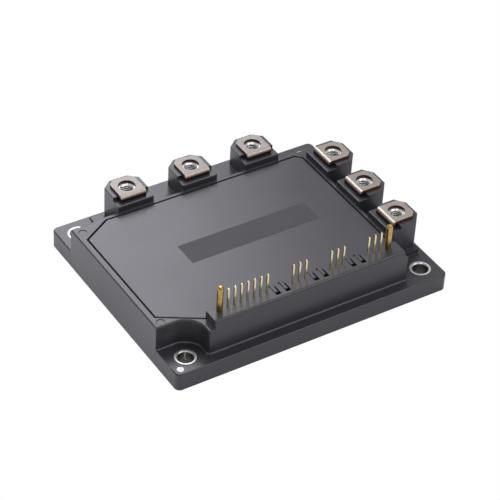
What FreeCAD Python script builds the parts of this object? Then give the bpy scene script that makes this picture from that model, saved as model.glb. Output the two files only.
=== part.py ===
import FreeCAD, Part
import math
import os

# Power module in a moulded case: six screw terminals stand along the rear and
# right sides, a row of square control pins between two guide pins along the
# front. +X runs along the long side, +Y from the control pins to the rear
# terminals, +Z up. The origin is the middle of the cooling face.

# Case outline and levels
length = 109.0
width = 88.0
corner_r = 2.0
flange_h = 7.0
rim_h = 16.7
case_lift = 0.2         # the base plate stands this much proud of the case
foot_r = 0.7            # inner corner where the walls stand on the flange
flange_edge_r = 0.6
rim_edge_r = 0.6
wall_edge_r = 0.8
front_shelf = 4.4       # flange left in front of the pin wall

# Mounting holes with metal collars
hole_pitch_x = 95.0
hole_pitch_y = 74.0
hole_d = 5.5
collar_d = 7.6
collar_proud = 0.1
collar_chamfer = 0.35
collar_groove_w = 1.6
collar_groove_depth = 0.4
recess_r = 7.5          # room for the screw head and its washer

# Base plate
plate_t = 3.0
plate_margin = 3.0      # from the case outline
plate_notch_r = 7.2     # round the collars
plate_chamfer = 0.3
plate_gap = 0.1

# Screw terminals, measured from the screw axis
output_names = "uvw"
supply_names = "pnb"
output_y = 36.4
output_x = -28.5
output_pitch = 26.0
supply_x = 47.15
supply_y = 19.0
supply_pitch = 20.0
strip_w = 10.0
strip_t = 1.0
strip_outer = 5.0       # to the free end
strip_chamfer = 1.8
strip_bend_r = 0.2      # inside radius
strip_hole_d = 6.2
strip_foot_reach = 15.0 # from the screw axis to the end of the foot
strip_foot_w = 7.0

# Terminal blocks of the case
block_half = 7.0
block_outer = 6.6
block_cut_side = 3.6    # cut corners, along the width and along the depth
block_cut_end = 2.9
block_high_in = 2.8     # inner end of the high part
block_in = 6.9          # inner end of the ledge
block_top = 20.7
ledge_top = 19.3
block_edge_r = 0.3
shelf_top = 12.4        # wall that ties the blocks of one side together
rear_shelf_out = 6.3    # from the row of screw axes to its outer face
right_shelf_out = 3.0
end_shelf_top = 9.0     # beside the outermost supply blocks
end_shelf_out = 5.0
rear_step_h = 0.6       # low step beside the first output block
rear_step_w = 4.5
nut_af = 8.0
nut_h = 4.0
nut_bore_d = 5.0
nut_face_d = 7.4        # flat ring of each face, inside the cone of the corners
nut_gap = 0.1
screw_room_d = 5.8
screw_room_depth = 7.0

# Lid and the opening that it closes
rim_left = 2.2          # rim beside the left edge of the lid
rim_lip = 0.8           # rim between the lid and a terminal block
rim_w = 1.6             # rim at the rear and right of the lid
rim_corner_w = 4.4      # rim beside the lid's rear right corner
mark_d = 3.0            # ejector marks on the rim's left corners
mark_depth = 0.2
mark_in = 2.9
mark_front_y = -27.5
mark_rear_y = 26.0
lid_t = 2.0
lid_gap = 0.5
lid_seat_w = 1.6
lid_cut_deg = 31.0
lid_cut_rear = 11.1     # length along X of the cut rear left corner
lid_cut_right = 2.4
lid_edge_chamfer = 0.2
lid_rib_t = 1.2
lid_rib_h = 1.6
lid_rib_gap = 0.3

# Control pins, guide pins and the wall that holds them
pin_counts = (7, 3, 3, 3)
pin_pitch = 2.54
pin_group_step = 10.16  # from the last pin of a group to the first of the next
pin_w = 0.64
pin_tip_chamfer = 0.15
pin_tip_h = 0.5
pin_top = 28.1
pin_row_y = -34.9
pin_leg_reach = 5.4
guide_offset = 3.22
guide_d = 2.2
guide_top = 30.2
guide_tip_h = 1.6
guide_tip_d = 1.0
guide_root = 9.5
guide_root_d = 3.4
guide_root_h = 1.2
guide_neck_d = 1.6      # inside the moulding, which grips it
pin_block_half = 37.9
pin_block_top = 20.3
pin_block_back = 1.6    # from the pin row to the rear face of the wall
pin_block_edge_r = 0.9
slot_w = 1.9            # slots between the groups, which take tongues of the lid
slot_pitch = 3.9
slot_front = 2.9        # from the pin row forward
slot_depth = 3.2
tongue_gap = 0.35
tongue_front = 1.3      # from the pin row forward
tongue_drop = 0.2       # below the top of the wall
tongue_root = 1.0       # length that stands on the lid

# Inner build
recess_wall = 1.6       # least wall between the cavity and a corner recess
back_copper_t = 0.3
ceramic_t = 0.63
track_t = 0.3
tile_w = 25.0
tile_gap = 1.0          # to the front wall of the cavity
foot_lap = 3.1          # of the output strips' feet on their tiles
copper_inset = 0.6
track_gap = 1.0
load_pad_d = 9.0
load_pad_w = 12.0
gate_pad_w = 3.2
igbt_size = 8.5
diode_size = 6.0
chip_t = 0.2
chip_gap = 0.6
board_t = 1.2
board_z = 10.8
board_d = 34.0
board_gap = 0.3
board_shelf = 1.2
driver_l = 10.0
driver_w = 7.5
driver_h = 2.2
driver_count = 4
driver_y = -14.0

V = FreeCAD.Vector
hole_x = hole_pitch_x / 2
hole_y = hole_pitch_y / 2
half_l = length / 2
half_w = width / 2
open_x0 = -half_l + rim_left
open_x1 = supply_x - block_in - rim_lip
open_y0 = pin_row_y + pin_block_back
open_y1 = output_y - block_in - rim_lip
body_x1 = open_x1 + rim_w
body_y0 = -half_w + front_shelf
body_y1 = open_y1 + rim_w
seat_z = rim_h - lid_t
tile_z = plate_t + back_copper_t + ceramic_t
foot_z = tile_z + track_t
board_top = board_z + board_t
nut_z = block_top - nut_h
tile_y0 = open_y0 + lid_seat_w + board_shelf + tile_gap
tile_y1 = output_y - strip_foot_reach + foot_lap
tile_y = (tile_y0 + tile_y1) / 2
tile_d = tile_y1 - tile_y0
# the chips end short of the supply strips' feet, the same way on each tile
chips_right = supply_x - strip_foot_reach - chip_gap - output_x - 2 * output_pitch
strip_inner = nut_af / 2 + nut_gap + strip_t    # outer face of the leg
through = 100.0


def box(x0, x1, y0, y1, z0, z1):
    return Part.makeBox(x1 - x0, y1 - y0, z1 - z0, V(x0, y0, z0))


def prism(points, z0, z1):
    wire = Part.makePolygon([V(x, y, z0) for x, y in points + points[:1]])
    return Part.Face(wire).extrude(V(0, 0, z1 - z0))


def rod(x, y, z0, z1, d):
    return Part.makeCylinder(d / 2, z1 - z0, V(x, y, z0))


def hexagon(af, z0, z1):
    # flats face along Y
    r = af / math.sqrt(3)
    points = [(r * math.cos(a), r * math.sin(a))
              for a in (math.radians(60 * i) for i in range(6))]
    return prism(points, z0, z1)


def edges_where(shape, test):
    return [e for e in shape.Edges if test(e.BoundBox)]


def is_upright(b):
    return b.ZLength > 1 and b.XLength < 0.01 and b.YLength < 0.01


def is_sharp_corner(b):
    # an upright edge, but not one where a recess arc runs on into a flat wall,
    # and not one on the left side, where the wall is flush with the flange
    off_x = abs(abs(b.Center.x) - hole_x) > 0.01 and b.XMin > -half_l + 0.01
    off_y = abs(abs(b.Center.y) - hole_y) > 0.01
    return is_upright(b) and off_x and off_y


def is_foot(b):
    # where a wall stands on the flange, away from the flange's own outer edge
    inside = b.YMin > -half_w + 1 and b.YMax < half_w - 1 and b.XMax < half_l - 1
    return lies_at(b, flange_h) and inside and (b.XMin > -half_l + 0.01 or b.XLength > 1)


def lies_at(b, z):
    return abs(b.ZMin - z) < 0.001 and abs(b.ZMax - z) < 0.001


def rounded_slab(x0, x1, y0, y1, z0, z1, r):
    slab = box(x0, x1, y0, y1, z0, z1)
    return slab.makeFillet(r, edges_where(slab, is_upright))


def corners():
    return [(sx * hole_x, sy * hole_y) for sx in (-1, 1) for sy in (-1, 1)]


# A terminal is drawn with its screw axis at x = y = 0 and its free end towards
# +Y. The rear row stands like that, the right column is turned to face +X.
def terminal_places():
    places = []
    for i, name in enumerate(output_names):
        spot = V(output_x + i * output_pitch, output_y, 0)
        places.append((name, FreeCAD.Placement(spot, FreeCAD.Rotation(V(0, 0, 1), 0))))
    for i, name in enumerate(supply_names):
        spot = V(supply_x, supply_y - i * supply_pitch, 0)
        places.append((name, FreeCAD.Placement(spot, FreeCAD.Rotation(V(0, 0, 1), -90))))
    return places


def placed(shape, place):
    copy = shape.copy()
    copy.Placement = place.multiply(copy.Placement)
    return copy


def pin_places():
    # x of each control pin, with the whole row centred on the case
    xs, x = [], 0.0
    for count in pin_counts:
        xs += [x + i * pin_pitch for i in range(count)]
        x = xs[-1] + pin_group_step
    middle = (xs[0] + xs[-1]) / 2
    return [x - middle for x in xs]


def group_gaps():
    # middle of each wide gap between two groups of pins
    xs = pin_places()
    return [(a + b) / 2 for a, b in zip(xs, xs[1:]) if b - a > pin_pitch * 1.5]


def base_plate():
    m = plate_margin
    plate = box(-half_l + m, half_l - m, -half_w + m, half_w - m, 0, plate_t)
    for x, y in corners():
        plate = plate.cut(rod(x, y, -1, plate_t + 1, 2 * plate_notch_r))
    lower = edges_where(plate, lambda b: lies_at(b, 0))
    return plate.makeChamfer(plate_chamfer, lower)


def plate_pocket():
    # recess in the underside of the case that takes the base plate
    m = plate_margin - plate_gap
    pocket = box(-half_l + m, half_l - m, -half_w + m, half_w - m, -1, plate_t)
    for x, y in corners():
        pocket = pocket.cut(rod(x, y, -2, plate_t + 1, 2 * (plate_notch_r - plate_gap)))
    return pocket


def collar(x, y):
    top = flange_h + collar_proud
    r, bore, c = collar_d / 2, hole_d / 2, collar_chamfer
    mid, half = top / 2, collar_groove_w / 2
    neck = r - collar_groove_depth
    outline = [(bore, c), (bore + c, 0), (r, 0), (r, mid - half), (neck, mid - half),
               (neck, mid + half), (r, mid + half), (r, top), (bore + c, top),
               (bore, top - c)]
    wire = Part.makePolygon([V(a, 0, z) for a, z in outline + outline[:1]])
    ring = Part.Face(wire).revolve(V(0, 0, 0), V(0, 0, 1), 360)
    ring.translate(V(x, y, 0))
    return ring


def recess(x, y):
    # round the hole, then straight out to both free sides of the corner
    sx, sy = math.copysign(1, x), math.copysign(1, y)
    far = recess_r + length
    cutter = rod(x, y, flange_h, through, 2 * recess_r)
    side = box(*sorted((x, x + sx * far)),
               *sorted((y - sy * recess_r, y + sy * far)), flange_h, through)
    front = box(*sorted((x - sx * recess_r, x + sx * far)),
                *sorted((y, y + sy * far)), flange_h, through)
    return cutter.fuse(side).fuse(front)


def main_body():
    flange = rounded_slab(-half_l, half_l, -half_w, half_w, case_lift, flange_h, corner_r)
    flange = flange.makeFillet(flange_edge_r, edges_where(flange, lambda b: lies_at(b, flange_h)))
    body = box(-half_l, body_x1, body_y0, body_y1, flange_h - 1, rim_h)
    body = body.fuse(box(body_x1 - 1, open_x1 + rim_corner_w, supply_y, body_y1,
                         flange_h - 1, rim_h)).removeSplitter()
    for x, y in corners():
        body = body.cut(recess(x, y))
    body = body.makeFillet(wall_edge_r, edges_where(body, is_sharp_corner))
    body = body.makeFillet(rim_edge_r, edges_where(body, lambda b: lies_at(b, rim_h)))
    body = body.fuse(flange).removeSplitter()
    return body.makeFillet(foot_r, edges_where(body, is_foot))


def terminal_block():
    w, end = block_half, block_outer
    narrow, start = w - block_cut_side, end - block_cut_end
    high = prism([(-w, -block_high_in), (w, -block_high_in), (w, start), (narrow, end),
                  (-narrow, end), (-w, start)], flange_h - 1, block_top)
    outer = edges_where(high, lambda b: (is_upright(b) and b.YMin > -block_high_in + 0.1)
                        or (lies_at(b, block_top) and b.YMax > -block_high_in + 0.1))
    high = high.makeFillet(block_edge_r, outer)
    ledge = box(-w, w, -block_in, -block_high_in, flange_h - 1, ledge_top)
    upper = edges_where(ledge, lambda b: lies_at(b, ledge_top)
                        and b.YMax < -block_high_in - 0.1)
    return high.fuse(ledge.makeFillet(block_edge_r, upper))


def nut_room():
    pocket = hexagon(nut_af + 2 * nut_gap, nut_z, through)
    return pocket.fuse(rod(0, 0, nut_z - screw_room_depth, through, screw_room_d))


def shelves():
    # low walls that join the blocks of one side, and lower steps beside them
    first = output_x - block_half
    rear = box(output_x, output_x + 2 * output_pitch, body_y1 - 1,
               output_y + rear_shelf_out, flange_h - 1, shelf_top)
    step = box(first - rear_step_w, first, body_y1 - 1, output_y + rear_shelf_out,
               flange_h - 1, flange_h + rear_step_h)
    right = box(body_x1 - 1, supply_x + right_shelf_out, supply_y - 2 * supply_pitch,
                supply_y, flange_h - 1, shelf_top)
    ends = box(body_x1 - 1, supply_x + end_shelf_out, -hole_y, hole_y, flange_h - 1,
               end_shelf_top)
    for x, y in corners():
        ends = ends.cut(recess(x, y))
    return rear.fuse(step).fuse(right).fuse(ends)


def pin_wall():
    wall = box(-pin_block_half, pin_block_half, body_y0, open_y0, rim_h - 1, pin_block_top)
    front = edges_where(wall, lambda b: lies_at(b, pin_block_top) and b.YMax < body_y0 + 0.1)
    wall = wall.makeFillet(pin_block_edge_r, front)
    for x in slot_places():
        wall = wall.cut(box(x - slot_w / 2, x + slot_w / 2, pin_row_y - slot_front,
                            open_y0 + 1, pin_block_top - slot_depth, through))
    return wall


def slot_places():
    return [middle + side * slot_pitch / 2 for middle in group_gaps() for side in (-1, 1)]


def tongue(x):
    # stands on the front edge of the lid and reaches into a slot of the wall
    half, edge = slot_w / 2 - tongue_gap, open_y0 + lid_gap
    top = pin_block_top - tongue_drop
    arm = box(x - half, x + half, pin_row_y - tongue_front, edge + tongue_root,
              pin_block_top - slot_depth + tongue_gap, top)
    return arm.fuse(box(x - half, x + half, edge, edge + tongue_root, seat_z, top))


def lid_outline(inset):
    # the opening under the lid, moved in by the inset on every side
    slope = math.tan(math.radians(lid_cut_deg))
    front = -pin_block_half - open_x0
    rear, right = lid_cut_rear, lid_cut_right
    points = [(open_x0, open_y0 + front * slope), (open_x0 + front, open_y0),
              (open_x1 - right, open_y0), (open_x1, open_y0 + right),
              (open_x1, open_y1 - right), (open_x1 - right, open_y1),
              (open_x0 + rear, open_y1), (open_x0, open_y1 - rear * slope)]
    face = Part.Face(Part.makePolygon([V(x, y, 0) for x, y in points + points[:1]]))
    return face.makeOffset2D(-inset, 2) if inset else face


def lid_slab(inset, z0, z1):
    slab = lid_outline(inset).extrude(V(0, 0, z1 - z0))
    slab.translate(V(0, 0, z0))
    return slab


def lid():
    plate = lid_slab(lid_gap, seat_z, rim_h)
    upper = edges_where(plate, lambda b: lies_at(b, rim_h))
    plate = plate.makeChamfer(lid_edge_chamfer, upper)
    outer = lid_seat_w + lid_rib_gap
    rib = lid_slab(outer, seat_z - lid_rib_h, seat_z)
    rib = rib.cut(lid_slab(outer + lid_rib_t, seat_z - lid_rib_h - 1, seat_z))
    plate = plate.fuse(rib)
    for x in slot_places():
        plate = plate.fuse(tongue(x))
    return plate.removeSplitter()


def cavity():
    room = lid_slab(0, seat_z, through)
    upper = lid_slab(lid_seat_w, board_z, seat_z + 1)
    ledge = lid_seat_w + board_shelf
    lower = box(open_x0 + ledge, open_x1 - ledge, open_y0 + ledge, open_y1 - ledge,
                plate_t - 1, board_z + 1)
    for x, y in corners():
        lower = lower.cut(rod(x, y, 0, through, 2 * (recess_r + recess_wall)))
    return room.fuse(upper).fuse(lower)


def strip_profile():
    # side view of a terminal strip in the YZ plane: plate, bend, leg, foot
    t, r = strip_t, strip_bend_r
    top, low = block_top + t, foot_z
    out, leg = strip_outer, -strip_inner
    end = -strip_foot_reach
    k = math.sqrt(0.5)

    def at(y, z):
        return V(0, y, z)

    big = r + t
    parts = [
        Part.LineSegment(at(out, top), at(leg + big, top)),
        Part.Arc(at(leg + big, top), at(leg + big * (1 - k), top - big * (1 - k)),
                 at(leg, top - big)),
        Part.LineSegment(at(leg, top - big), at(leg, low + t + r)),
        Part.Arc(at(leg, low + t + r), at(leg - r * (1 - k), low + t + r * (1 - k)),
                 at(leg - r, low + t)),
        Part.LineSegment(at(leg - r, low + t), at(end, low + t)),
        Part.LineSegment(at(end, low + t), at(end, low)),
        Part.LineSegment(at(end, low), at(leg - r, low)),
        Part.Arc(at(leg - r, low), at(leg - r + big * k, low + big * (1 - k)),
                 at(leg + t, low + big)),
        Part.LineSegment(at(leg + t, low + big), at(leg + t, top - big)),
        Part.Arc(at(leg + t, top - big), at(leg + big - r * k, top - t - r * (1 - k)),
                 at(leg + big, top - t)),
        Part.LineSegment(at(leg + big, top - t), at(out, top - t)),
        Part.LineSegment(at(out, top - t), at(out, top)),
    ]
    return Part.Face(Part.Wire([p.toShape() for p in parts]))


def terminal():
    profile = strip_profile()
    profile.translate(V(-strip_w / 2, 0, 0))
    strip = profile.extrude(V(strip_w, 0, 0))
    strip = strip.cut(rod(0, 0, block_top - 1, through, strip_hole_d))
    ends = [e for e in strip.Edges
            if is_thickness(e.BoundBox) and e.BoundBox.YMin > strip_outer - 0.01]
    strip = strip.makeChamfer(strip_chamfer, ends)
    trim = (strip_w - strip_foot_w) / 2
    for side in (-1, 1):
        x = side * (strip_w / 2 - trim / 2)
        strip = strip.cut(box(x - trim / 2 - (side < 0), x + trim / 2 + (side > 0),
                              -strip_foot_reach - 1, -strip_inner - strip_bend_r - strip_t,
                              foot_z - 1, foot_z + strip_t + 1))
    return strip


def is_thickness(b):
    return abs(b.ZLength - strip_t) < 0.001 and b.XLength < 0.01 and b.YLength < 0.01


def nut():
    body = hexagon(nut_af, nut_z, nut_z + nut_h)
    r, face = nut_af, nut_face_d / 2
    c = (r - face) * math.tan(math.radians(30))
    outline = [(0, nut_z), (face, nut_z), (r, nut_z + c), (r, nut_z + nut_h - c),
               (face, nut_z + nut_h), (0, nut_z + nut_h)]
    wire = Part.makePolygon([V(a, 0, z) for a, z in outline + outline[:1]])
    body = body.common(Part.Face(wire).revolve(V(0, 0, 0), V(0, 0, 1), 360))
    return body.cut(rod(0, 0, nut_z - 1, nut_z + nut_h + 1, nut_bore_d))


def control_pin(x):
    h = pin_w / 2
    low = board_top
    shank = box(x - h, x + h, pin_row_y - h, pin_row_y + h, low, pin_top - pin_tip_h)
    c = h - pin_tip_chamfer
    base = Part.makePolygon([V(x + a * h, pin_row_y + b * h, pin_top - pin_tip_h)
                             for a, b in ((-1, -1), (1, -1), (1, 1), (-1, 1), (-1, -1))])
    peak = Part.makePolygon([V(x + a * c, pin_row_y + b * c, pin_top)
                             for a, b in ((-1, -1), (1, -1), (1, 1), (-1, 1), (-1, -1))])
    tip = Part.makeLoft([base, peak], True, True)
    leg = box(x - h, x + h, pin_row_y - h, pin_row_y + pin_leg_reach, low, low + pin_w)
    return shank.fuse(tip).fuse(leg).removeSplitter()


def guide_pin(x):
    r, tip = guide_d / 2, guide_tip_d / 2
    root, neck = guide_root_d / 2, guide_neck_d / 2
    neck_z = guide_root + guide_root_h
    shoulder = guide_top - guide_tip_h
    mid_r = tip + (r - tip) * math.cos(math.radians(45))
    mid_z = shoulder + guide_tip_h * math.sin(math.radians(45))

    def at(a, z):
        return V(a, 0, z)

    sides = [at(0, guide_top), at(0, guide_root), at(root, guide_root), at(root, neck_z),
             at(neck, neck_z), at(neck, pin_block_top), at(r, pin_block_top),
             at(r, shoulder)]
    edges = [Part.LineSegment(a, b) for a, b in zip(sides, sides[1:])]
    edges.append(Part.Arc(at(r, shoulder), at(mid_r, mid_z), at(tip, guide_top)))
    edges.append(Part.LineSegment(at(tip, guide_top), at(0, guide_top)))
    face = Part.Face(Part.Wire([e.toShape() for e in edges]))
    pin = face.revolve(V(0, 0, 0), V(0, 0, 1), 360)
    pin.translate(V(x, pin_row_y, 0))
    return pin


def guide_places():
    xs = pin_places()
    return [xs[0] - guide_offset, xs[-1] + guide_offset]


def tile_places():
    return [(name, output_x + i * output_pitch) for i, name in enumerate(output_names)]


def slab(x, w, d, z, t):
    return box(x - w / 2, x + w / 2, tile_y - d / 2, tile_y + d / 2, z, z + t)


def tracks(x):
    # two chip pads, behind them a load pad and a supply pad, and a gate strip
    w, d = tile_w - 2 * copper_inset, tile_d - 2 * copper_inset
    x0, y0 = x - w / 2, tile_y - d / 2
    pad = (d - load_pad_d - 2 * track_gap) / 2
    left = x0 + gate_pad_w + track_gap
    pads = []
    for i in range(2):
        y = y0 + i * (pad + track_gap)
        pads.append(box(left, x0 + w, y, y + pad, tile_z, foot_z))
    y = y0 + d - load_pad_d
    pads.append(box(left, left + load_pad_w, y, y0 + d, tile_z, foot_z))
    pads.append(box(left + load_pad_w + track_gap, x0 + w, y, y0 + d, tile_z, foot_z))
    pads.append(box(x0, x0 + gate_pad_w, y0, y0 + d, tile_z, foot_z))
    return pads


def chips(x, size, right):
    # one chip on each of the two chip pads, its right edge at the given place
    out = []
    for pad in tracks(x)[:2]:
        front = pad.BoundBox.Center.y - size / 2
        out.append(box(x + right - size, x + right, front, front + size,
                       foot_z, foot_z + chip_t))
    return Part.makeCompound(out)


def board():
    plate = lid_slab(lid_seat_w + board_gap, board_z, board_top)
    front = open_y0 + lid_seat_w + board_gap
    return plate.common(box(-half_l, half_l, front - 1, front + board_d,
                            board_z - 1, board_top + 1))


def drivers():
    # the gate driver chips stand in a row along the board
    first = output_x - output_pitch / 2
    step = len(output_names) * output_pitch / driver_count
    row = []
    for i in range(driver_count):
        x = first + (i + 0.5) * step
        row.append(box(x - driver_l / 2, x + driver_l / 2, driver_y - driver_w / 2,
                       driver_y + driver_w / 2, board_top, board_top + driver_h))
    return Part.makeCompound(row)


def save(name, shape):
    shape.exportStep("parts/" + name + ".step")


def case(metal):
    # the moulding closes tightly round every metal piece set in it
    body = main_body().fuse(shelves()).fuse(pin_wall())
    for name, place in terminal_places():
        body = body.fuse(placed(terminal_block(), place))
    body = body.removeSplitter()
    for name, place in terminal_places():
        body = body.cut(placed(nut_room(), place))
    body = body.cut(cavity()).cut(plate_pocket())
    for x, y in corners():
        body = body.cut(rod(x, y, -1, through, hole_d + 2 * collar_chamfer))
    for y in (mark_front_y, mark_rear_y):
        body = body.cut(rod(mark_in - half_l, y, rim_h - mark_depth, through, mark_d))
    for piece in metal:
        body = body.cut(piece)
    return body


def build():
    os.makedirs("parts", exist_ok=True)
    shapes = {"base_plate": base_plate(), "lid": lid(), "control_board": board(),
              "driver_chips": drivers()}
    metal = {}
    for label, (x, y) in zip(("front_left", "rear_left", "front_right", "rear_right"),
                             corners()):
        metal["collar_" + label] = collar(x, y)
    for name, place in terminal_places():
        metal["terminal_" + name] = placed(terminal(), place)
        shapes["nut_" + name] = placed(nut(), place)
    for label, x in zip(("left", "right"), guide_places()):
        metal["guide_pin_" + label] = guide_pin(x)
    for i, x in enumerate(pin_places()):
        metal["control_pin_%02d" % (i + 1)] = control_pin(x)
    for name, x in tile_places():
        shapes["ceramic_" + name] = slab(x, tile_w, tile_d, plate_t + back_copper_t, ceramic_t)
        inner_w, inner_d = tile_w - 2 * copper_inset, tile_d - 2 * copper_inset
        shapes["back_copper_" + name] = slab(x, inner_w, inner_d, plate_t, back_copper_t)
        shapes["tracks_" + name] = Part.makeCompound(tracks(x))
        shapes["diode_chips_" + name] = chips(x, diode_size, chips_right)
        shapes["igbt_chips_" + name] = chips(x, igbt_size,
                                             chips_right - diode_size - chip_gap)
    shapes["case"] = case(metal.values())
    shapes.update(metal)
    for name, shape in shapes.items():
        save(name, shape)


build()
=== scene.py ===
import math
import bmesh
import bpy
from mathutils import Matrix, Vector


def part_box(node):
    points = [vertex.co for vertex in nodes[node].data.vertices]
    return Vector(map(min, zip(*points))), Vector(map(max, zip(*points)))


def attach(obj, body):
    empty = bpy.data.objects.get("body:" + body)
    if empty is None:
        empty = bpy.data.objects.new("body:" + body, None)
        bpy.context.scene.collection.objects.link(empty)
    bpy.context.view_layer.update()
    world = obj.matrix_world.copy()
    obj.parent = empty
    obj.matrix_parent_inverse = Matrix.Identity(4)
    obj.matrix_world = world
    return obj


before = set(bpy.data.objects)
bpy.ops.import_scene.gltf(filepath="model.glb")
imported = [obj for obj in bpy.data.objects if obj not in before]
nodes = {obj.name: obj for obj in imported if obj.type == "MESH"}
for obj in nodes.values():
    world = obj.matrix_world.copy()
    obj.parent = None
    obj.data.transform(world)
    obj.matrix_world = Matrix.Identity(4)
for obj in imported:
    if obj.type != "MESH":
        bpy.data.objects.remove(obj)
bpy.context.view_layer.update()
mm = 0.001

# Base plate. A rolled copper plate that carries the power chips inside and lies
# on the heat sink. It is ground flat, nickel plated and bonded into the case.

nickel_light, nickel_dull = (0.70, 0.67, 0.61), (0.60, 0.57, 0.52)
plate_edge_r, grinding_depth = 0.15 * mm, 0.004 * mm
plate_roughness = (0.24, 0.42)
edge_samples = 6
flat_cosine, edge_cosine = 0.995, 0.80


def new_material(name):
    """A material with an empty tree, its surface shader and its output."""
    material = bpy.data.materials.new(name)
    material.use_nodes = True
    tree = material.node_tree
    tree.nodes.clear()
    output = tree.nodes.new("ShaderNodeOutputMaterial")
    shader = tree.nodes.new("ShaderNodeBsdfPrincipled")
    tree.links.new(shader.outputs["BSDF"], output.inputs["Surface"])
    return material, tree, shader


def dress(tree, shader, colour, roughness, normal=None, metal=0.0):
    """Plugs a colour, a roughness and a normal into the surface shader."""
    tree.links.new(colour, shader.inputs["Base Color"])
    tree.links.new(roughness, shader.inputs["Roughness"])
    if normal is not None:
        tree.links.new(normal, shader.inputs["Normal"])
    shader.inputs["Metallic"].default_value = metal


def finish(names, material):
    """Gives the named CAD nodes one material."""
    for name in names:
        for slot in nodes[name].material_slots:
            slot.material = material


def place_of(tree):
    """Object coordinates, which are the frame's own metres."""
    return tree.nodes.new("ShaderNodeTexCoord").outputs["Object"]


def feed(tree, socket, value):
    """Sets a socket to a number or a colour, or links another socket to it."""
    if isinstance(value, tuple):
        socket.default_value = value + (1.0,)
    elif isinstance(value, (int, float)):
        socket.default_value = value
    else:
        tree.links.new(value, socket)


def noise(tree, place, per_metre, detail=3.0, stretch=(1, 1, 1)):
    """A noise value over the surface, with its size given per metre."""
    mapping = tree.nodes.new("ShaderNodeMapping")
    mapping.inputs["Scale"].default_value = stretch
    tree.links.new(place, mapping.inputs["Vector"])
    texture = tree.nodes.new("ShaderNodeTexNoise")
    feed(tree, texture.inputs["Scale"], per_metre)
    texture.inputs["Detail"].default_value = detail
    tree.links.new(mapping.outputs["Vector"], texture.inputs["Vector"])
    return texture.outputs["Fac"]


def ranged(tree, value, low, high, span=(0.0, 1.0)):
    """Maps a value, as it goes over its span, from low to high, and clamps it."""
    node = tree.nodes.new("ShaderNodeMapRange")
    node.inputs["From Min"].default_value = span[0]
    node.inputs["From Max"].default_value = span[1]
    feed(tree, node.inputs["To Min"], low)
    feed(tree, node.inputs["To Max"], high)
    tree.links.new(value, node.inputs["Value"])
    return node.outputs["Result"]


def mixed(tree, mask, first, second):
    """A colour between two colours, by a mask. Either may be a socket."""
    node = tree.nodes.new("ShaderNodeMix")
    node.data_type = "RGBA"
    tree.links.new(mask, node.inputs["Factor"])
    feed(tree, node.inputs["A"], first)
    feed(tree, node.inputs["B"], second)
    return node.outputs["Result"]


def bumped(tree, height, depth, normal=None):
    """A normal with the given height pattern, its depth in metres."""
    node = tree.nodes.new("ShaderNodeBump")
    node.inputs["Strength"].default_value = 1.0
    node.inputs["Distance"].default_value = depth
    tree.links.new(height, node.inputs["Height"])
    if normal is not None:
        tree.links.new(normal, node.inputs["Normal"])
    return node.outputs["Normal"]


def make_edge_group():
    """Shows where an edge is near: rounded normals, and a mask of rubbed edges."""
    group = bpy.data.node_groups.new("soft_edges", "ShaderNodeTree")
    group.interface.new_socket("Radius", in_out="INPUT", socket_type="NodeSocketFloat")
    group.interface.new_socket("Normal", in_out="OUTPUT", socket_type="NodeSocketVector")
    group.interface.new_socket("Edge", in_out="OUTPUT", socket_type="NodeSocketFloat")
    start = group.nodes.new("NodeGroupInput")
    end = group.nodes.new("NodeGroupOutput")
    bevel = group.nodes.new("ShaderNodeBevel")
    bevel.samples = edge_samples
    group.links.new(start.outputs["Radius"], bevel.inputs["Radius"])
    geometry = group.nodes.new("ShaderNodeNewGeometry")
    dot = group.nodes.new("ShaderNodeVectorMath")
    dot.operation = "DOT_PRODUCT"
    group.links.new(bevel.outputs["Normal"], dot.inputs[0])
    group.links.new(geometry.outputs["Normal"], dot.inputs[1])
    edge = ranged(group, dot.outputs["Value"], 0, 1, span=(flat_cosine, edge_cosine))
    group.links.new(bevel.outputs["Normal"], end.inputs["Normal"])
    group.links.new(edge, end.inputs["Edge"])
    return group


soft_edges = make_edge_group()


def edges_of(tree, radius):
    """The edge group in a tree: its rounded normal and its mask of edges."""
    node = tree.nodes.new("ShaderNodeGroup")
    node.node_tree = soft_edges
    node.inputs["Radius"].default_value = radius
    return node.outputs


def nickel_plate():
    material, tree, shader = new_material("ground_nickel")
    place = place_of(tree)
    grind = noise(tree, place, per_metre=2600, detail=2.0, stretch=(0.03, 1, 1))
    cloud = noise(tree, place, per_metre=60, detail=4.0)
    dulled = ranged(tree, cloud, 0, 1, span=(0.35, 0.7))
    rounded = edges_of(tree, plate_edge_r)["Normal"]
    dress(tree, shader, mixed(tree, dulled, nickel_light, nickel_dull),
          ranged(tree, grind, *plate_roughness),
          bumped(tree, grind, grinding_depth, rounded), metal=1.0)
    return material


finish(["base_plate"], nickel_plate())

# Power tiles. Three white ceramic tiles are soldered to the base plate. Each has
# a copper foil on its back and etched copper tracks on top that carry the chips.

phases = "uvw"
ceramic_white, ceramic_grey = (0.80, 0.80, 0.76), (0.70, 0.70, 0.66)
copper_bright, copper_dark = (0.76, 0.38, 0.24), (0.52, 0.24, 0.15)
silicon_dark, silicon_light = (0.34, 0.35, 0.38), (0.45, 0.45, 0.47)
ceramic_roughness, copper_roughness = (0.35, 0.5), (0.28, 0.45)
tile_relief = 0.01 * mm
chip_roughness, chip_metal = (0.2, 0.3), 0.8


def ceramic():
    material, tree, shader = new_material("white_ceramic")
    speck = noise(tree, place_of(tree), per_metre=1500, detail=4.0)
    greyed = ranged(tree, speck, 0, 1, span=(0.4, 0.7))
    dress(tree, shader, mixed(tree, greyed, ceramic_white, ceramic_grey),
          ranged(tree, speck, *ceramic_roughness), bumped(tree, speck, tile_relief))
    return material


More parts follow.
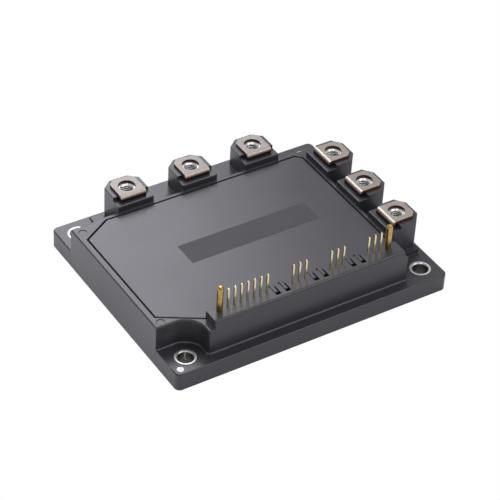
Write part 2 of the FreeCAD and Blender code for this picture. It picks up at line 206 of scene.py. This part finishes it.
def copper_foil():
    material, tree, shader = new_material("etched_copper")
    cloud = noise(tree, place_of(tree), per_metre=220, detail=5.0)
    tarnished = ranged(tree, cloud, 0, 1, span=(0.35, 0.65))
    dress(tree, shader, mixed(tree, tarnished, copper_bright, copper_dark),
          ranged(tree, cloud, *copper_roughness), bumped(tree, cloud, tile_relief), metal=1.0)
    return material


def silicon():
    material, tree, shader = new_material("metallised_silicon")
    grain = noise(tree, place_of(tree), per_metre=4000, detail=2.0)
    dress(tree, shader, mixed(tree, grain, silicon_dark, silicon_light),
          ranged(tree, grain, *chip_roughness), metal=chip_metal)
    return material


finish(["ceramic_" + p for p in phases], ceramic())
finish([kind + p for kind in ("back_copper_", "tracks_") for p in phases], copper_foil())
finish([kind + p for kind in ("igbt_chips_", "diode_chips_") for p in phases], silicon())

# Control board. A glass fibre board with green solder mask lies on the case's
# inner ledge, under the lid. Four black driver chips stand on it.

mask_dark, mask_light = (0.012, 0.09, 0.045), (0.02, 0.13, 0.06)
package_dark, package_light = (0.012, 0.012, 0.013), (0.03, 0.03, 0.032)
mask_roughness, package_roughness = (0.25, 0.4), (0.45, 0.6)
board_relief = 0.01 * mm


def solder_mask():
    material, tree, shader = new_material("green_solder_mask")
    weave = noise(tree, place_of(tree), per_metre=1800, detail=1.0, stretch=(1, 0.2, 1))
    dress(tree, shader, mixed(tree, weave, mask_dark, mask_light),
          ranged(tree, weave, *mask_roughness), bumped(tree, weave, board_relief))
    return material


def chip_package():
    material, tree, shader = new_material("black_package")
    grain = noise(tree, place_of(tree), per_metre=5000, detail=2.0)
    dress(tree, shader, mixed(tree, grain, package_dark, package_light),
          ranged(tree, grain, *package_roughness), bumped(tree, grain, board_relief))
    return material


finish(["control_board"], solder_mask())
finish(["driver_chips"], chip_package())

# Case. One moulding of glass filled plastic, charcoal grey with a very fine
# spark eroded texture. Its edges are a little polished by hands and trays.

charcoal = (0.026, 0.0255, 0.0295)
charcoal_worn = (0.045, 0.044, 0.050)
case_lighter = 1.12
case_edge_r, grain_depth = 0.3 * mm, 0.010 * mm
grain_per_metre, cloud_per_metre = 5200, 45
skin_smooth, skin_rough, skin_flutter = 0.29, 0.34, 0.03
plastic_ior = 1.58
noise_span = (0.3, 0.7)


def sums(tree, kind, first, second=0):
    """One step of arithmetic on sockets or numbers."""
    node = tree.nodes.new("ShaderNodeMath")
    node.operation = kind
    feed(tree, node.inputs[0], first)
    feed(tree, node.inputs[1], second)
    return node.outputs["Value"]


def make_skin_group():
    """The moulded texture: its fine grain, a slow change, and a roughness from both."""
    group = bpy.data.node_groups.new("moulded_skin", "ShaderNodeTree")
    group.interface.new_socket("Place", in_out="INPUT", socket_type="NodeSocketVector")
    for name in ("Grain Scale", "Cloud Scale", "Smooth", "Rough"):
        group.interface.new_socket(name, in_out="INPUT", socket_type="NodeSocketFloat")
    for name in ("Grain", "Cloud", "Roughness"):
        group.interface.new_socket(name, in_out="OUTPUT", socket_type="NodeSocketFloat")
    start = group.nodes.new("NodeGroupInput")
    end = group.nodes.new("NodeGroupOutput")
    grain = noise(group, start.outputs["Place"], start.outputs["Grain Scale"], detail=2.0)
    cloud = noise(group, start.outputs["Place"], start.outputs["Cloud Scale"], detail=3.0)
    slow = ranged(group, cloud, start.outputs["Smooth"], start.outputs["Rough"], noise_span)
    quick = ranged(group, grain, -skin_flutter, skin_flutter, noise_span)
    group.links.new(grain, end.inputs["Grain"])
    group.links.new(cloud, end.inputs["Cloud"])
    group.links.new(sums(group, "ADD", slow, quick), end.inputs["Roughness"])
    return group


moulded_skin = make_skin_group()


def skin_of(tree):
    """The moulded texture in a tree, with the values of this plastic."""
    node = tree.nodes.new("ShaderNodeGroup")
    node.node_tree = moulded_skin
    tree.links.new(place_of(tree), node.inputs["Place"])
    node.inputs["Grain Scale"].default_value = grain_per_metre
    node.inputs["Cloud Scale"].default_value = cloud_per_metre
    node.inputs["Smooth"].default_value = skin_smooth
    node.inputs["Rough"].default_value = skin_rough
    return node.outputs


def moulded_plastic():
    material, tree, shader = new_material("charcoal_moulding")
    skin = skin_of(tree)
    edges = edges_of(tree, case_edge_r)
    base = mixed(tree, ranged(tree, skin["Cloud"], 0, 1, noise_span), charcoal,
                 tuple(c * case_lighter for c in charcoal))
    handled = ranged(tree, skin["Cloud"], 0.3, 1.0, span=(0.4, 0.6))
    rubbed = sums(tree, "MULTIPLY", edges["Edge"], handled)
    dress(tree, shader, mixed(tree, rubbed, base, charcoal_worn), skin["Roughness"],
          bumped(tree, skin["Grain"], grain_depth, edges["Normal"]))
    shader.inputs["IOR"].default_value = plastic_ior
    return material


finish(["case"], moulded_plastic())

# Lid. Moulded in the same plastic, its edges rubbed all along, and glued into the
# case's rim with a narrow gap all round.

lid_lighter = 1.10
lid_edge_r = 0.28 * mm


def lid_plastic():
    material, tree, shader = new_material("charcoal_lid")
    skin = skin_of(tree)
    edges = edges_of(tree, lid_edge_r)
    base = mixed(tree, ranged(tree, skin["Cloud"], 0, 1, noise_span), charcoal,
                 tuple(c * lid_lighter for c in charcoal))
    dress(tree, shader, mixed(tree, edges["Edge"], base, charcoal_worn), skin["Roughness"],
          bumped(tree, skin["Grain"], grain_depth, edges["Normal"]))
    shader.inputs["IOR"].default_value = plastic_ior
    return material


finish(["lid"], lid_plastic())

# Plain field. A thin matt black film lies across the middle of the lid, with
# nothing on it. It is glued down and its corners are hardly rounded.

field_low = (-26.8 * mm, -6.3 * mm)
field_high = (24.9 * mm, 3.9 * mm)
lid_face_z, field_t = 16.7 * mm, 0.04 * mm
field_corner_r = 0.35 * mm
corner_steps = 5
film_dark, film_light = (0.052, 0.051, 0.056), (0.058, 0.057, 0.062)
film_roughness = (0.46, 0.54)
film_relief, film_gloss = 0.008 * mm, 0.22


def matt_film():
    material, tree, shader = new_material("matt_black_film")
    place = place_of(tree)
    weave = noise(tree, place, per_metre=3600, detail=2.0)
    slow = noise(tree, place, per_metre=70, detail=2.0)
    dress(tree, shader,
          mixed(tree, ranged(tree, slow, 0, 1, noise_span), film_dark, film_light),
          ranged(tree, weave, *film_roughness, noise_span), bumped(tree, weave, film_relief))
    shader.inputs["Specular IOR Level"].default_value = film_gloss
    return material


def mesh_piece(name, points, faces, material):
    """A new piece at the origin, with its place in its mesh."""
    mesh = bpy.data.meshes.new(name)
    mesh.from_pydata(points, [], faces)
    piece = bpy.data.objects.new(name, mesh)
    bpy.context.scene.collection.objects.link(piece)
    piece.data.materials.append(material)
    return piece


def film_piece():
    """A thin slab with rounded corners on the lid's top face."""
    left, right = field_low[0] + field_corner_r, field_high[0] - field_corner_r
    front, rear = field_low[1] + field_corner_r, field_high[1] - field_corner_r
    outline = []
    for i, (x, y) in enumerate(((right, rear), (left, rear), (left, front), (right, front))):
        for k in range(corner_steps + 1):
            a = math.radians(90 * i + 90 * k / corner_steps)
            outline.append((x + field_corner_r * math.cos(a), y + field_corner_r * math.sin(a)))
    count = len(outline)
    points = [(x, y, lid_face_z + z) for z in (0, field_t) for x, y in outline]
    faces = [list(reversed(range(count))), list(range(count, 2 * count))]
    for i in range(count):
        j = (i + 1) % count
        faces.append((i, j, count + j, count + i))
    return mesh_piece("lid_field", points, faces, matt_film())


film = film_piece()
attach(film, "root")

# Collars. Steel sleeves are rolled from strip, faced on a lathe, zinc plated and
# moulded into the corner holes, so that the screws can't crush the plastic. Their
# bore walls are coloured much darker than the faced ends: painted shade inside the holes.

corners = ("front_left", "rear_left", "front_right", "rear_right")
face_light, face_dull = (0.66, 0.66, 0.62), (0.56, 0.56, 0.52)
# Bore colours: painted shade, far darker than the same steel on the faced ends.
bore_shade_light, bore_shade_dull = (0.20, 0.195, 0.185), (0.13, 0.128, 0.12)
collar_roughness = (0.34, 0.44)
collar_edge_r, turning_depth = 0.10 * mm, 0.02 * mm
bore_turning = 0.02
bore_tilt = (0.05, 0.4)


def parts_of(tree, vector):
    """The X, Y and Z of a vector."""
    node = tree.nodes.new("ShaderNodeSeparateXYZ")
    tree.links.new(vector, node.inputs["Vector"])
    return node.outputs


def facing(tree, normal="Normal"):
    """The X, Y and Z of the way that the surface faces."""
    return parts_of(tree, tree.nodes.new("ShaderNodeNewGeometry").outputs[normal])


def turned_steel():
    material, tree, shader = new_material("turned_zinc_steel")
    place = place_of(tree)
    rings = noise(tree, place, per_metre=5200, detail=1.0, stretch=(0.03, 0.03, 1))
    cloud = noise(tree, place, per_metre=300)
    tilt = sums(tree, "ABSOLUTE", facing(tree, "True Normal")["Z"])
    in_bore = ranged(tree, tilt, 1, 0, bore_tilt)
    face = mixed(tree, cloud, face_light, face_dull)
    # The bore's colour is painted shade for the inside of the hole.
    bore = mixed(tree, cloud, bore_shade_light, bore_shade_dull)
    height = sums(tree, "MULTIPLY", rings, ranged(tree, in_bore, bore_turning, 1.0))
    rounded = edges_of(tree, collar_edge_r)["Normal"]
    dress(tree, shader, mixed(tree, in_bore, face, bore),
          ranged(tree, cloud, *collar_roughness, noise_span),
          bumped(tree, height, turning_depth, rounded), metal=1.0)
    return material


finish(["collar_" + c for c in corners], turned_steel())

# Collar seams. The ends of each sleeve's strip meet in a wavy seam down the bore.
# It is peened shut and stands a little proud. Its steel is much brighter than the
# collar's own: a painted highlight, the light streak down the bore wall.

bore_r = 2.75 * mm
seam_half_width, seam_proud, seam_sunk = 0.26 * mm, 0.18 * mm, 0.05 * mm
seam_foot_gap, seam_head_gap = 0.4 * mm, 0.15 * mm
seam_sway = math.radians(7)
peen_marks = 28
peen_share, peen_hollow = 0.98, 0.01 * mm
seam_turns = {"front_left": 57, "rear_left": 200, "front_right": 245, "rear_right": 320}
# Brighter than the collar's steel: painted highlight streak along the bead.
streak_highlight_light, streak_highlight_dull = (0.92, 0.92, 0.88), (0.78, 0.78, 0.73)
seam_roughness, seam_relief = (0.22, 0.34), 0.01 * mm


def streak_highlight_steel():
    material, tree, shader = new_material("highlight_streak_steel")
    cloud = noise(tree, place_of(tree), per_metre=900)
    dress(tree, shader, mixed(tree, cloud, streak_highlight_light, streak_highlight_dull),
          ranged(tree, cloud, *seam_roughness, noise_span),
          bumped(tree, cloud, seam_relief), metal=1.0)
    return material


def middle_of(node):
    """The middle of a CAD node, seen from above."""
    low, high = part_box(node)
    return (low[0] + high[0]) / 2, (low[1] + high[1]) / 2


def seam_piece(corner, material):
    """A narrow closed bead down the bore, with one small ramp for each peen mark."""
    low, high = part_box("collar_" + corner)
    centre = middle_of("collar_" + corner)
    foot, head = low[2] + seam_foot_gap, high[2] - seam_head_gap
    step = (head - foot) / peen_marks
    rows = []
    for k in range(peen_marks):
        rows.append((foot + k * step, seam_proud))
        rows.append((foot + (k + peen_share) * step, peen_hollow))
    half = seam_half_width / bore_r
    points, faces = [], []
    for z, proud in rows:
        middle = math.radians(seam_turns[corner])
        middle -= seam_sway * math.sin(math.tau * (z - foot) / (head - foot))
        for a, r in ((middle - half, bore_r + seam_sunk), (middle - half, bore_r - proud),
                     (middle + half, bore_r - proud), (middle + half, bore_r + seam_sunk)):
            points.append((centre[0] + r * math.cos(a), centre[1] + r * math.sin(a), z))
    for i in range(len(rows) - 1):
        for k in range(4):
            m = (k + 1) % 4
            faces.append((4 * i + k, 4 * i + m, 4 * i + 4 + m, 4 * i + 4 + k))
    faces.append((3, 2, 1, 0))
    faces.append(tuple(len(points) - 4 + k for k in range(4)))
    piece = mesh_piece("collar_highlight_bead_" + corner, points, faces, material)
    shell = bmesh.new()
    shell.from_mesh(piece.data)
    bmesh.ops.recalc_face_normals(shell, faces=shell.faces)
    shell.to_mesh(piece.data)
    shell.free()
    return piece


# The bead's bright steel paints the highlight streak in the bore.
highlight_bead_steel = streak_highlight_steel()
for corner in corners:
    seam = seam_piece(corner, highlight_bead_steel)
    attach(seam, "root")

# Terminals. Copper strips are nickel plated, then sheared and bent over their
# nuts, so the flat faces are warm matte nickel and the cut edges show bare,
# darkened copper. Each strip is held in its block of the case. Light and shade
# are painted on as well: the bend is lighter, a painted highlight; the lower leg
# is dark, painted shade and the ledge's dark reflection; the hole's wall is
# darker copper, painted shade in the hole.

rear_letters, side_letters = "uvw", "pnb"
rear_nickel, side_nickel = (0.290, 0.277, 0.252), (0.290, 0.265, 0.227)
strip_lightness = {"u": 0.86, "v": 0.87, "w": 0.98, "p": 1.03, "n": 1.0, "b": 1.17}
dull_share = 0.91
# Lighter nickel for the bend: a painted highlight.
bend_highlight_nickel = (0.47, 0.41, 0.35)
# The hole wall's copper is far darker than the cut edges: painted shade in the hole.
cut_copper, hole_wall_shade_copper = (0.28, 0.11, 0.08), (0.075, 0.035, 0.028)
# Dark for the leg's lower part: painted shade and painted dark reflection of the ledge.
leg_shade_dark = (0.06, 0.045, 0.042)
leg_worn, leg_dull = (0.75, 0.52, 0.43), (0.40, 0.30, 0.26)
strip_roughness = (0.42, 0.52)
strip_edge_r, satin_depth = 0.10 * mm, 0.008 * mm
upright_tilt, square_on = 0.3, 0.9
bend_tilt, plate_tilt = (0.35, 0.6), (0.94, 0.99)
bend_start, leg_start = 3.4 * mm, 3.9 * mm
hole_wall = (3.2 * mm, 3.4 * mm)
leg_shade_span = (20.5 * mm, 21.2 * mm)
band_foot, band_head = (20.4 * mm, 20.75 * mm), (20.9 * mm, 21.3 * mm)


def between(tree, value, rise, fall):
    """A mask that goes up over one span and down again over a later one."""
    return sums(tree, "MULTIPLY", ranged(tree, value, 0, 1, rise),
                ranged(tree, value, 1, 0, fall))


def sheared_edge(tree, place, centre, inward):
    """A mask of the cut edges: upright faces, but not the leg's plated face."""
    turn = facing(tree)
    upright = sums(tree, "LESS_THAN", sums(tree, "ABSOLUTE", turn["Z"]), upright_tilt)
    faces_in = sums(tree, "GREATER_THAN", sums(tree, "ABSOLUTE", turn[inward]), square_on)
    on_leg = sums(tree, "LESS_THAN", parts_of(tree, place)[inward], centre - leg_start)
    plated = sums(tree, "MULTIPLY", faces_in, on_leg)
    return sums(tree, "MULTIPLY", upright, sums(tree, "SUBTRACT", 1.0, plated))


def bend_highlight_mask(tree):
    """A mask that is one on the curved bend between the plate and its leg, where a lighter
    colour paints the highlight.
    """
    return between(tree, sums(tree, "ABSOLUTE", facing(tree)["Z"]), bend_tilt, plate_tilt)


def shaded_hole_wall(tree, place, axis):
    """A mask that is one on the wall of the screw hole, where darker copper paints the shade.
    """
    spot = parts_of(tree, place)
    across = sums(tree, "SUBTRACT", spot["X"], axis[0])
    along = sums(tree, "SUBTRACT", spot["Y"], axis[1])
    square = sums(tree, "ADD", sums(tree, "MULTIPLY", across, across),
                  sums(tree, "MULTIPLY", along, along))
    return ranged(tree, sums(tree, "SQRT", square), 1, 0, hole_wall)


def plated_strip(letter, inward, clean, worn):
    """The finish of one strip, whose leg lies inward of its hole along X or Y."""
    material, tree, shader = new_material("plated_strip_" + letter)
    place = place_of(tree)
    axis = middle_of("nut_" + letter)
    centre = axis["XY".index(inward)]
    satin = noise(tree, place, per_metre=2400)
    cloud = noise(tree, place, per_metre=300)
    dulled = ranged(tree, cloud, 0, 1, span=(0.35, 0.65))
    nickel = mixed(tree, dulled, clean, tuple(c * dull_share for c in clean))
    # The screw hole's wall takes much darker copper: painted shade inside the hole.
    bare = mixed(tree, shaded_hole_wall(tree, place, axis), cut_copper, hole_wall_shade_copper)
    colour = mixed(tree, sheared_edge(tree, place, centre, inward), nickel, bare)
    # The bend takes a lighter nickel: painted highlight.
    colour = mixed(tree, bend_highlight_mask(tree), colour, bend_highlight_nickel)
    spot = parts_of(tree, place)
    # The leg darkens downward below the bend: painted shade and reflection of the ledge.
    colour = mixed(tree, ranged(tree, spot["Z"], 1, 0, leg_shade_span), colour, leg_shade_dark)
    on_leg = sums(tree, "LESS_THAN", spot[inward], centre - bend_start)
    band = between(tree, spot["Z"], band_foot, band_head)
    colour = mixed(tree, sums(tree, "MULTIPLY", on_leg, band), colour, worn)
    rounded = edges_of(tree, strip_edge_r)["Normal"]
    dress(tree, shader, colour, ranged(tree, satin, *strip_roughness, noise_span),
          bumped(tree, satin, satin_depth, rounded), metal=1.0)
    return material


for letter in rear_letters:
    nickel = tuple(c * strip_lightness[letter] for c in rear_nickel)
    finish(["terminal_" + letter], plated_strip(letter, "Y", nickel, leg_worn))
for letter in side_letters:
    nickel = tuple(c * strip_lightness[letter] for c in side_nickel)
    finish(["terminal_" + letter], plated_strip(letter, "X", nickel, leg_dull))

# Nuts. Pressed steel nuts lie in six-sided pockets under the plates. Their thread
# is a helical ridge that starts below a countersunk mouth, in the plate's hole.

nut_letters = rear_letters + side_letters
nut_light, nut_dull = (0.90, 0.90, 0.86), (0.74, 0.75, 0.69)
nut_roughness, nut_relief = (0.32, 0.46), 0.01 * mm
thread_low, thread_high = 17.25 * mm, 20.2 * mm
thread_pitch = 0.8 * mm
thread_root_r, thread_depth = 2.49 * mm, 0.43 * mm
thread_foot_width, thread_crest_width = 0.70 * mm, 0.20 * mm
thread_section_turn = 90
mouth_top = 20.69 * mm
mouth_r, mouth_depth = 2.49 * mm, 0.46 * mm
turn_steps = 48


def zinc_steel():
    material, tree, shader = new_material("zinc_nut_steel")
    cloud = noise(tree, place_of(tree), per_metre=900)
    dress(tree, shader, mixed(tree, cloud, nut_light, nut_dull),
          ranged(tree, cloud, *nut_roughness, noise_span),
          bumped(tree, cloud, nut_relief), metal=1.0)
    return material


nut_steel = zinc_steel()
finish(["nut_" + letter for letter in nut_letters], nut_steel)


def thread_tree():
    """A right-hand helix of the given size, with the thread's section swept along it."""
    tree = bpy.data.node_groups.new("nut_thread", "GeometryNodeTree")
    sizes = {}
    for name in ("Middle Radius", "Depth", "Foot Width", "Crest Width", "Pitch", "Turns"):
        socket = tree.interface.new_socket(name, in_out="INPUT", socket_type="NodeSocketFloat")
        sizes[name] = socket.identifier
    tree.interface.new_socket("Geometry", in_out="OUTPUT", socket_type="NodeSocketGeometry")
    add, link = tree.nodes.new, tree.links.new
    start, end = add("NodeGroupInput"), add("NodeGroupOutput")
    helix = add("GeometryNodeCurveSpiral")
    helix.inputs["Resolution"].default_value = turn_steps
    helix.inputs["Reverse"].default_value = True
    link(start.outputs["Turns"], helix.inputs["Rotations"])
    link(start.outputs["Middle Radius"], helix.inputs["Start Radius"])
    link(start.outputs["Middle Radius"], helix.inputs["End Radius"])
    rise = add("ShaderNodeMath")
    rise.operation = "MULTIPLY"
    link(start.outputs["Pitch"], rise.inputs[0])
    link(start.outputs["Turns"], rise.inputs[1])
    link(rise.outputs[0], helix.inputs["Height"])
    level = add("GeometryNodeSetCurveNormal")
    level.mode = "Z_UP"
    link(helix.outputs["Curve"], level.inputs["Curve"])
    ridge = add("GeometryNodeCurvePrimitiveQuadrilateral")
    ridge.mode = "TRAPEZOID"
    ridge.inputs["Offset"].default_value = 0.0
    link(start.outputs["Foot Width"], ridge.inputs["Bottom Width"])
    link(start.outputs["Crest Width"], ridge.inputs["Top Width"])
    link(start.outputs["Depth"], ridge.inputs["Height"])
    turned = add("GeometryNodeTransform")
    turned.inputs["Rotation"].default_value = (0, 0, math.radians(thread_section_turn))
    link(ridge.outputs["Curve"], turned.inputs["Geometry"])
    sweep = add("GeometryNodeCurveToMesh")
    sweep.inputs["Fill Caps"].default_value = True
    link(level.outputs["Curve"], sweep.inputs["Curve"])
    link(turned.outputs["Geometry"], sweep.inputs["Profile Curve"])
    real = add("GeometryNodeRealizeInstances")
    paint = add("GeometryNodeSetMaterial")
    paint.inputs["Material"].default_value = nut_steel
    link(sweep.outputs["Mesh"], real.inputs["Geometry"])
    link(real.outputs["Geometry"], paint.inputs["Geometry"])
    link(paint.outputs["Geometry"], end.inputs["Geometry"])
    return tree, sizes


def baked_piece(name, tree, values, place):
    """Runs a node tree once and keeps its result as a plain mesh piece."""
    holder = bpy.data.objects.new(name + "_maker", bpy.data.meshes.new(name + "_maker"))
    bpy.context.scene.collection.objects.link(holder)
    modifier = holder.modifiers.new("nodes", "NODES")
    modifier.node_group = tree
    for identifier, value in values.items():
        modifier[identifier] = value
    bpy.context.view_layer.update()
    graph = bpy.context.evaluated_depsgraph_get()
    mesh = bpy.data.meshes.new_from_object(holder.evaluated_get(graph))
    bpy.data.objects.remove(holder)
    for vertex in mesh.vertices:
        vertex.co += Vector(place)
    mesh.name = name
    piece = bpy.data.objects.new(name, mesh)
    bpy.context.scene.collection.objects.link(piece)
    return piece


def turned_ring(section, centre):
    """Points and faces of a closed ring with the given (radius, height) section."""
    points, faces = [], []
    count = len(section)
    for i in range(turn_steps):
        a = math.tau * i / turn_steps
        for r, z in section:
            points.append((centre[0] + r * math.cos(a), centre[1] + r * math.sin(a), z))
    for i in range(turn_steps):
        near, far = i * count, (i + 1) % turn_steps * count
        for k in range(count):
            m = (k + 1) % count
            faces.append((near + k, far + k, far + m, near + m))
    return points, faces


def add_mouth(piece, axis):
    """Adds the countersunk mouth, a cone that leads down to the thread's crests."""
    slope = [(mouth_r, mouth_top), (mouth_r, mouth_top - mouth_depth),
             (mouth_r - mouth_depth, mouth_top - mouth_depth)]
    points, faces = turned_ring(slope, axis)
    bulk = bmesh.new()
    bulk.from_mesh(piece.data)
    ring = [bulk.verts.new(point) for point in points]
    for face in faces:
        bulk.faces.new([ring[k] for k in face])
    bmesh.ops.recalc_face_normals(bulk, faces=bulk.faces)
    bulk.to_mesh(piece.data)
    bulk.free()


helix_tree, helix_sizes = thread_tree()
helix_values = {
    helix_sizes["Middle Radius"]: thread_root_r - thread_depth / 2,
    helix_sizes["Depth"]: thread_depth,
    helix_sizes["Foot Width"]: thread_foot_width,
    helix_sizes["Crest Width"]: thread_crest_width,
    helix_sizes["Pitch"]: thread_pitch,
    helix_sizes["Turns"]: (thread_high - thread_low) / thread_pitch,
}
for letter in nut_letters:
    axis = middle_of("nut_" + letter)
    thread = baked_piece("thread_" + letter, helix_tree, helix_values, axis + (thread_low,))
    add_mouth(thread, axis)
    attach(thread, "root")

# Guide pins. Two drawn brass pins with rounded tips stand at the ends of the pin
# row and lead the control board into place. Their bright domes mirror the room.

brass_bright, brass_dull = (0.57, 0.39, 0.12), (0.42, 0.28, 0.08)
brass_roughness, drawing_depth = (0.20, 0.34), 0.006 * mm


def drawn_brass():
    material, tree, shader = new_material("drawn_brass")
    place = place_of(tree)
    streak = noise(tree, place, per_metre=2600, detail=2.0, stretch=(1, 1, 0.06))
    cloud = noise(tree, place, per_metre=500)
    tarnished = ranged(tree, cloud, 0, 1, span=(0.35, 0.65))
    dress(tree, shader, mixed(tree, tarnished, brass_bright, brass_dull),
          ranged(tree, streak, *brass_roughness, noise_span),
          bumped(tree, streak, drawing_depth), metal=1.0)
    return material


finish(["guide_pin_left", "guide_pin_right"], drawn_brass())

# Control pins. Sixteen square pins are stamped from bronze strip and gold plated.
# They go through the moulded wall and reach the control board inside.

pin_count = 16
gold_bright, gold_dull = (0.95, 0.83, 0.50), (0.86, 0.72, 0.38)
gold_roughness = (0.14, 0.26)
pin_edge_r, stamping_depth = 0.08 * mm, 0.003 * mm


def gold_plate():
    material, tree, shader = new_material("gold_plated_bronze")
    streak = noise(tree, place_of(tree), per_metre=5000, detail=2.0, stretch=(1, 1, 0.08))
    rounded = edges_of(tree, pin_edge_r)["Normal"]
    dress(tree, shader, mixed(tree, streak, gold_bright, gold_dull),
          ranged(tree, streak, *gold_roughness, noise_span),
          bumped(tree, streak, stamping_depth, rounded), metal=1.0)
    return material


finish(["control_pin_%02d" % (i + 1) for i in range(pin_count)], gold_plate())

# Paint dot. A drop of white paint beside the front left collar marks how the
# part lies. It has dried flat, with a slightly uneven rim.

dot_centre = (-52.0 * mm, -41.4 * mm)
dot_r = 1.2 * mm
dot_low, dot_t = 7.0 * mm, 0.05 * mm
dot_section = ((1.0, 0.0), (1.0, 0.5), (0.9, 0.9), (0.6, 1.0))
dot_steps = 40
broad_wobble, broad_turn, fine_wobble = 0.03, 0.7, 0.02
paint_white, paint_grey = (0.95, 0.95, 0.94), (0.88, 0.88, 0.87)
paint_roughness, paint_relief = (0.4, 0.6), 0.02 * mm


def white_paint():
    material, tree, shader = new_material("white_paint")
    pits = noise(tree, place_of(tree), per_metre=3000)
    dress(tree, shader, mixed(tree, pits, paint_white, paint_grey),
          ranged(tree, pits, *paint_roughness), bumped(tree, pits, paint_relief))
    return material


def paint_dot():
    """A flat drop with a rounded rim, whose section is in shares of the drop's size."""
    points, faces = [], []
    for share, rise in dot_section:
        for i in range(dot_steps):
            a = math.tau * i / dot_steps
            wobble = 1 + broad_wobble * math.sin(3 * a + broad_turn)
            wobble += fine_wobble * math.sin(5 * a)
            r = dot_r * share * wobble
            points.append((dot_centre[0] + r * math.cos(a), dot_centre[1] + r * math.sin(a),
                           dot_low + rise * dot_t))
    top = (len(dot_section) - 1) * dot_steps
    for row in range(0, top, dot_steps):
        for i in range(dot_steps):
            j = (i + 1) % dot_steps
            faces.append((row + i, row + j, row + dot_steps + j, row + dot_steps + i))
    faces.append([top + i for i in range(dot_steps)])
    faces.append(list(reversed(range(dot_steps))))
    return mesh_piece("paint_dot", points, faces, white_paint())


dot = paint_dot()
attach(dot, "root")

# Studio. The part lies on a white table in an evenly white room, with soft boxes
# behind it, in front on the right and above, and a dark card behind the camera.
# The camera stands where the photograph was taken.

table_half = 1.6
table_grey, table_roughness = (0.50, 0.50, 0.50, 1), 0.9
table_near, table_far = (0.85, 0.837, 0.902), (1.22, 1.20, 1.295)
table_fade, table_strength = 40 * mm, 0.43
card_place, card_side = (-0.35, -0.52, 0.48), 0.40
felt_dark, felt_light = (0.010, 0.010, 0.010), (0.016, 0.016, 0.016)
felt_roughness = 0.95
cool_white = (0.985, 0.97, 1.045)
room_strength = 0.48
aim_point = (0, 0, 0.01)
camera_place = (-0.31740, -0.46974, 0.46734)
camera_turn = (0.88839, -0.046595, -0.5573)
lens_mm, sensor_mm = 150.094, 36.0


def square(half):
    """The corners of a level square around the origin."""
    return [(-half, -half, 0), (half, -half, 0), (half, half, 0), (-half, half, 0)]


def white_table():
    """A table that lights the part more from the rear left, and looks plain white."""
    material, tree, shader = new_material("white_table")
    shader.inputs["Base Color"].default_value = table_grey
    shader.inputs["Roughness"].default_value = table_roughness
    spot = parts_of(tree, place_of(tree))
    leftward = sums(tree, "SUBTRACT", spot["Y"], spot["X"])
    far = ranged(tree, leftward, 0, 1, span=(0.0, table_fade))
    tree.links.new(mixed(tree, far, table_near, table_far), shader.inputs["Emission Color"])
    shader.inputs["Emission Strength"].default_value = table_strength
    glow = tree.nodes.new("ShaderNodeEmission")
    ray = tree.nodes.new("ShaderNodeLightPath")
    choice = tree.nodes.new("ShaderNodeMixShader")
    tree.links.new(ray.outputs["Is Camera Ray"], choice.inputs["Fac"])
    tree.links.new(shader.outputs["BSDF"], choice.inputs[1])
    tree.links.new(glow.outputs["Emission"], choice.inputs[2])
    tree.links.new(choice.outputs["Shader"], tree.nodes["Material Output"].inputs["Surface"])
    return material


def black_felt():
    material, tree, shader = new_material("black_felt")
    fuzz = noise(tree, place_of(tree), per_metre=900, detail=2.0)
    tree.links.new(mixed(tree, fuzz, felt_dark, felt_light), shader.inputs["Base Color"])
    shader.inputs["Roughness"].default_value = felt_roughness
    return material


def dark_card():
    """The dark side of the room behind the camera, seen only in bright metal."""
    card = mesh_piece("studio_card", square(card_side / 2), [(0, 1, 2, 3)], black_felt())
    turn = Vector(card_place).to_track_quat("-Z", "Y").to_matrix().to_4x4()
    card.data.transform(turn)
    for vertex in card.data.vertices:
        vertex.co += Vector(card_place)
    card.visible_camera = False
    return card


def soft_box(name, place, size, power):
    """A soft box that points at the part and isn't seen itself."""
    light = bpy.data.lights.new(name, "AREA")
    light.color = cool_white
    light.shape = "RECTANGLE"
    light.size, light.size_y = size
    light.energy = power
    lamp = bpy.data.objects.new(name, light)
    lamp.location = place
    aim = Vector(aim_point) - Vector(place)
    lamp.rotation_euler = aim.to_track_quat("-Z", "Y").to_euler()
    lamp.visible_camera = False
    bpy.context.scene.collection.objects.link(lamp)


mesh_piece("studio_floor", square(table_half), [(0, 1, 2, 3)], white_table())
dark_card()
soft_box("key", place=(0.04, 0.38, 0.44), size=(0.44, 0.46), power=2.52)
soft_box("front", place=(0.50, -0.62, 0.84), size=(0.5, 0.75), power=2.9)
soft_box("over", place=(-0.24, -0.36, 0.66), size=(0.14, 0.14), power=0.65)

world = bpy.data.worlds.new("studio_room")
world.use_nodes = True
world.node_tree.nodes["Background"].inputs["Color"].default_value = cool_white + (1,)
world.node_tree.nodes["Background"].inputs["Strength"].default_value = room_strength
bpy.context.scene.world = world
bpy.context.scene.view_settings.view_transform = "Standard"

eye = bpy.data.cameras.new("studio_camera")
eye.sensor_width = sensor_mm
eye.lens = lens_mm
eye.clip_start, eye.clip_end = 0.01, 10.0
camera = bpy.data.objects.new("studio_camera", eye)
camera.location = camera_place
camera.rotation_euler = camera_turn
bpy.context.scene.collection.objects.link(camera)
bpy.context.scene.camera = camera
